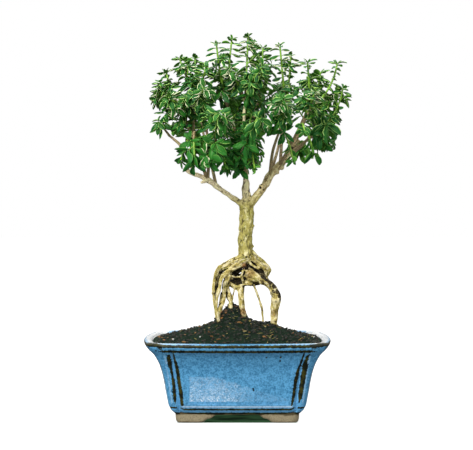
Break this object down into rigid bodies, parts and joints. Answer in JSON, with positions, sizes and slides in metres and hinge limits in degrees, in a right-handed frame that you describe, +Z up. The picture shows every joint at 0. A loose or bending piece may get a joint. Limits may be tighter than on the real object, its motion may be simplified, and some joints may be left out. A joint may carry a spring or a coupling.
{
  "type": "serissa bonsai",
  "caption": "Serissa bonsai with a round crown of small cream-edged leaves on exposed roots, in a blue glazed pot on bracket feet.",
  "frame": {"origin": "middle of the whole object's footprint, on the surface that the pot's feet stand on; the pot's own middle is 12.5 mm to the left of it, at x = -0.0125", "axes": "+Z up, front of the pot towards -Y, long side of the pot along X"},
  "size_m": [0.2212, 0.1936, 0.4147],
  "materials": {
    "glaze": "gloss",
    "soil": "matte",
    "bark": "matte",
    "leaf": "satin"
  },
  "bodies": {
    "root": {"pot": "glaze", "soil": "soil", "tree": "bark", "spray_01": "leaf", "spray_02": "leaf", "spray_03": "leaf", "spray_04": "leaf", "spray_05": "leaf", "spray_06": "leaf", "spray_07": "leaf", "spray_08": "leaf", "spray_09": "leaf", "spray_10": "leaf", "spray_11": "leaf", "spray_12": "leaf", "spray_13": "leaf", "spray_14": "leaf", "spray_15": "leaf", "spray_16": "leaf", "spray_17": "leaf", "spray_18": "leaf", "spray_19": "leaf", "spray_20": "leaf", "spray_21": "leaf", "spray_22": "leaf", "spray_23": "leaf", "spray_24": "leaf", "spray_25": "leaf", "spray_26": "leaf", "spray_27": "leaf", "spray_28": "leaf", "spray_29": "leaf", "spray_30": "leaf", "spray_31": "leaf", "spray_32": "leaf", "spray_33": "leaf", "spray_34": "leaf", "spray_35": "leaf", "spray_36": "leaf", "spray_37": "leaf", "spray_38": "leaf", "spray_39": "leaf", "spray_40": "leaf", "spray_41": "leaf", "spray_42": "leaf", "spray_43": "leaf", "spray_44": "leaf"}
  },
  "joints": []
}
